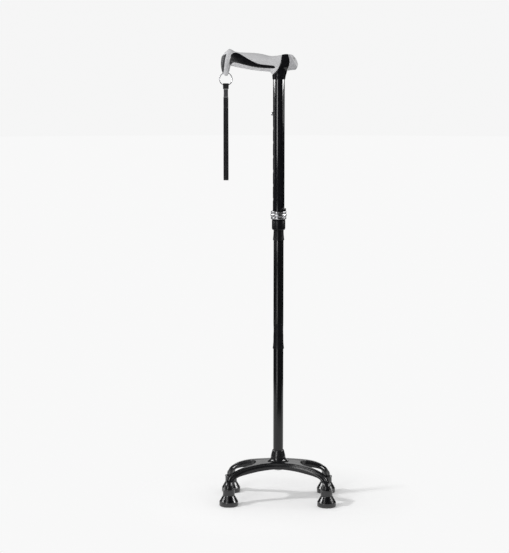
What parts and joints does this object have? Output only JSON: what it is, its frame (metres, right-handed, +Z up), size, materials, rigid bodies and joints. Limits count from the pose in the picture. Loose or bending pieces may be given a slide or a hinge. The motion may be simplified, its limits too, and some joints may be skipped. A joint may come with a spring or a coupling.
{
  "type": "quad cane",
  "caption": "Height-adjustable walking cane in pull-apart sections on a wide cast base with rubber feet, with a contoured handle and a wrist strap on a split ring.",
  "frame": {"origin": "on the staff's axis at floor level, midway between the four feet", "axes": "+Z up along the staff, -X towards the handle's hooked nose, +Y across the wide base from the pictured side to the far side"},
  "size_m": [0.2118, 0.131, 0.8193],
  "materials": {
    "coated_casting": "smooth black coating over the casting",
    "foot_rubber": "smooth moulded black",
    "steel": "plain",
    "staff_tube": "satin black",
    "outer_tube": "gloss black",
    "black_plastic": "satin black",
    "handle_black": "glossy black",
    "nylon_bush": "natural nylon",
    "silver_ring": "silver, fine turned",
    "grip_grey": "soft-touch light grey",
    "cap_grey": "dark grey, fine grain",
    "chromed_wire": "bright",
    "webbing": "woven black nylon"
  },
  "bodies": {
    "base": {"quad_base": "coated_casting", "foot_front_left": "foot_rubber", "foot_front_right": "foot_rubber", "foot_rear_left": "foot_rubber", "foot_rear_right": "foot_rubber", "foot_washer_front_left": "steel", "foot_washer_front_right": "steel", "foot_washer_rear_left": "steel", "foot_washer_rear_right": "steel", "base_bolt": "steel", "base_washer": "steel", "lower_tube": "staff_tube", "lower_tube_plug": "steel", "lower_spigot": "black_plastic"},
    "middle": {"middle_tube": "staff_tube", "middle_ferrule": "black_plastic", "middle_spigot": "black_plastic", "shock_cord": "webbing"},
    "inner": {"inner_tube": "staff_tube", "upper_ferrule": "black_plastic", "cord_stop": "black_plastic", "button_spring": "steel", "inner_tube_guide": "nylon_bush"},
    "button": {"snap_button": "steel"},
    "upper": {"outer_tube": "outer_tube", "lock_collar": "black_plastic", "lock_collet": "nylon_bush", "handle_core": "handle_black", "grip_cover": "grip_grey", "tail_cover": "grip_grey", "nose_cap": "cap_grey"},
    "lock": {"lock_ring": "silver_ring"},
    "ring": {"strap_ring": "chromed_wire"},
    "strap": {"strap_tab": "webbing", "strap_neck": "webbing", "wrist_loop": "webbing"}
  },
  "joints": [
    {"name": "lower_pull", "type": "slide", "parent": "base", "child": "middle", "axis": [0, 0, 1], "range_m": [0, 0.034], "stiffness_N_per_m": 300, "springref_m": -0.06, "deforming": ["shock_cord"]},
    {"name": "upper_pull", "type": "slide", "parent": "middle", "child": "inner", "axis": [0, 0, 1], "range_m": [0, 0.034], "stiffness_N_per_m": 300, "springref_m": -0.06, "deforming": ["shock_cord"]},
    {"name": "button_press", "type": "slide", "parent": "inner", "child": "button", "axis": [1, 0, 0], "range_m": [0, 0.0044], "stiffness_N_per_m": 1500, "springref_m": -0.002, "deforming": ["button_spring"]},
    {"name": "height_slide", "type": "slide", "parent": "inner", "child": "upper", "axis": [0, 0, 1], "range_m": [0, 0.1524]},
    {"name": "lock_turn", "type": "hinge", "parent": "upper", "child": "lock", "pos_m": [0, 0, 0.5189], "axis": [0, 0, 1], "range_deg": [0, 90]},
    {"name": "ring_swing", "type": "hinge", "parent": "upper", "child": "ring", "pos_m": [-0.0943, 0, 0.7771], "axis": [1, 0, 0], "range_deg": [-75, 75]},
    {"name": "strap_swing", "type": "hinge", "parent": "ring", "child": "strap", "pos_m": [-0.0943, 0, 0.7546], "axis": [1, 0, 0], "range_deg": [-60, 60]}
  ]
}
